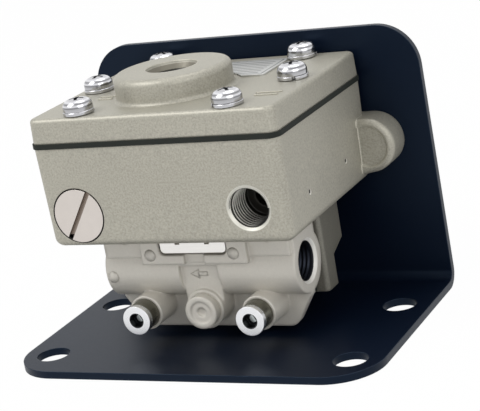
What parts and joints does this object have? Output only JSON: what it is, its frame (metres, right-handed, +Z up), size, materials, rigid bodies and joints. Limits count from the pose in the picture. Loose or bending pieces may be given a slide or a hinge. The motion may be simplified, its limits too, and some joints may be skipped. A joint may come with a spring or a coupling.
{
  "type": "pneumatic delay valve on a bracket",
  "caption": "Cast pneumatic delay valve with a cover, screwed plug, side port and adjuster needles, on a black folded sheet bracket",
  "frame": {"origin": "centre of the four bracket holes, on the underside of the bracket", "axes": "+Z up, normal to the bracket base; +X to the right seen from the front, towards the side port; +Y to the back, where the upright stands"},
  "size_m": [0.12, 0.0839, 0.0857],
  "materials": {
    "black_paint": "black satin powder coat on sheet steel",
    "grey_casting": "greenish grey, fine blasted die casting",
    "pale_casting": "pale grey as cast",
    "pale_aluminium": "turned, satin",
    "label_aluminium": "thin satin plate, left bare",
    "bright_steel": "bright zinc or stainless",
    "spring_steel": "drawn wire",
    "brass": "turned",
    "filter_bronze": "dark sintered bronze",
    "black_rubber": "matt nitrile rubber"
  },
  "bodies": {
    "valve_body": {"bracket": "black_paint", "housing": "grey_casting", "cover_gasket": "black_rubber", "cover": "grey_casting", "cover_screws": "bright_steel", "cover_spring_washers": "bright_steel", "label_plate": "label_aluminium", "vent_filter": "filter_bronze", "slotted_plug": "pale_aluminium", "slotted_plug_oring": "black_rubber", "piston_spring": "spring_steel", "block_gasket": "black_rubber", "valve_block": "pale_casting", "steel_plate": "bright_steel", "block_screws": "bright_steel", "block_spring_washers": "bright_steel", "centre_plug": "pale_casting", "centre_plug_oring": "black_rubber", "bracket_screws": "bright_steel", "bracket_spring_washers": "bright_steel"},
    "left_ring": {"needle_left_oring": "black_rubber"},
    "left_needle": {"needle_left": "bright_steel"},
    "right_ring": {"needle_right_oring": "black_rubber"},
    "right_needle": {"needle_right": "bright_steel"},
    "piston": {"timing_piston": "pale_aluminium", "piston_oring": "black_rubber", "valve_stem": "brass", "stem_nut": "bright_steel", "poppet_seal": "black_rubber"},
    "ball": {"check_ball": "bright_steel"}
  },
  "joints": [
    {"name": "left_needle_feed", "type": "slide", "parent": "valve_body", "child": "left_ring", "axis": [0, -1, 0], "range_m": [-0.001, 0.002]},
    {"name": "left_needle_turn", "type": "hinge", "parent": "left_ring", "child": "left_needle", "pos_m": [-0.0191, -0.019, 0.0129], "axis": [0, -1, 0], "range_deg": [-720, 1440]},
    {"name": "right_needle_feed", "type": "slide", "parent": "valve_body", "child": "right_ring", "axis": [0, -1, 0], "range_m": [-0.001, 0.002]},
    {"name": "right_needle_turn", "type": "hinge", "parent": "right_ring", "child": "right_needle", "pos_m": [0.0191, -0.019, 0.0129], "axis": [0, -1, 0], "range_deg": [-720, 1440]},
    {"name": "piston_lift", "type": "slide", "parent": "valve_body", "child": "piston", "axis": [0, 0, 1], "range_m": [0, 0.005], "stiffness_N_per_m": 400, "springref_m": -0.005, "deforming": ["piston_spring"]},
    {"name": "check_ball_lift", "type": "slide", "parent": "valve_body", "child": "ball", "axis": [0, -1, 0], "range_m": [0, 0.0015]}
  ],
  "couplings": [
    {"joint": "left_needle_turn", "follows": "left_needle_feed", "rad_per_m": 12566},
    {"joint": "right_needle_turn", "follows": "right_needle_feed", "rad_per_m": 12566}
  ]
}
